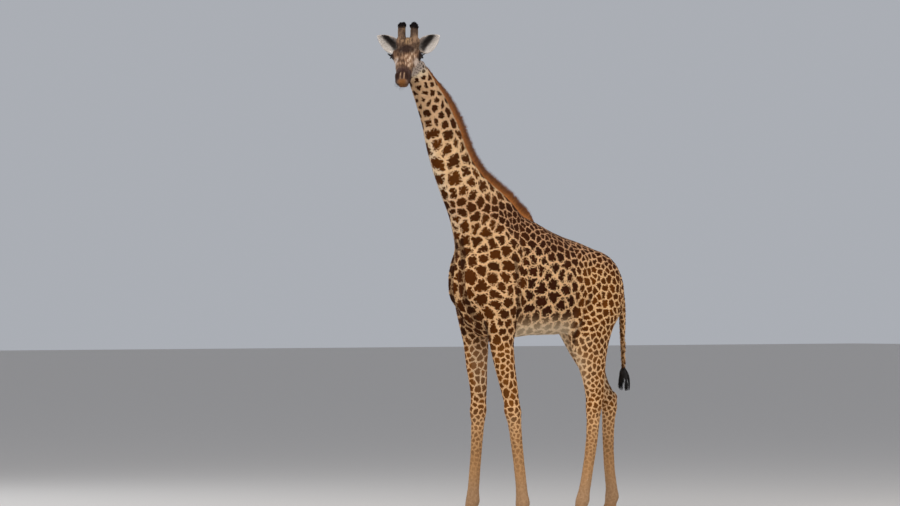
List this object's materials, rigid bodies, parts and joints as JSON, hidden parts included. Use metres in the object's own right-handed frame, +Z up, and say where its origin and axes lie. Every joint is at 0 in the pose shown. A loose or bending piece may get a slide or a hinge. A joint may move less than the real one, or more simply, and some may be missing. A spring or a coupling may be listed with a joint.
{
  "type": "giraffe model",
  "caption": "Life-size standing giraffe with long neck, short ossicones, spotted coat, mane, tufted tail and cloven hooves, head turned to its left.",
  "frame": {"origin": "on the ground plane, under the middle of the whole animal's bounding box", "axes": "+Z up; the body faces -Y; +X towards the animal's left side"},
  "size_m": [0.735, 2.9318, 4.3895],
  "materials": {
    "coat": "short matt hair, dark jagged blotches on buff",
    "mane": "stiff upright hair, brown with dark tips",
    "black_hair": "long coarse hair",
    "horn": "worn hoof horn",
    "eye": "wet gloss"
  },
  "bodies": {
    "root": {"head": "coat", "neck": "coat", "trunk": "coat", "tail": "coat", "ear_left": "coat", "ear_right": "coat", "ossicone_left": "coat", "ossicone_right": "coat", "leg_front_left_upper": "coat", "leg_front_left_lower": "coat", "leg_front_right_upper": "coat", "leg_front_right_lower": "coat", "leg_hind_left_upper": "coat", "leg_hind_left_lower": "coat", "leg_hind_right_upper": "coat", "leg_hind_right_lower": "coat", "mane": "mane", "tail_tassel": "black_hair", "hoof_front_left_outer": "horn", "hoof_front_left_inner": "horn", "hoof_front_right_outer": "horn", "hoof_front_right_inner": "horn", "hoof_hind_left_outer": "horn", "hoof_hind_left_inner": "horn", "hoof_hind_right_outer": "horn", "hoof_hind_right_inner": "horn", "eye_left": "eye", "eye_right": "eye"}
  },
  "joints": []
}
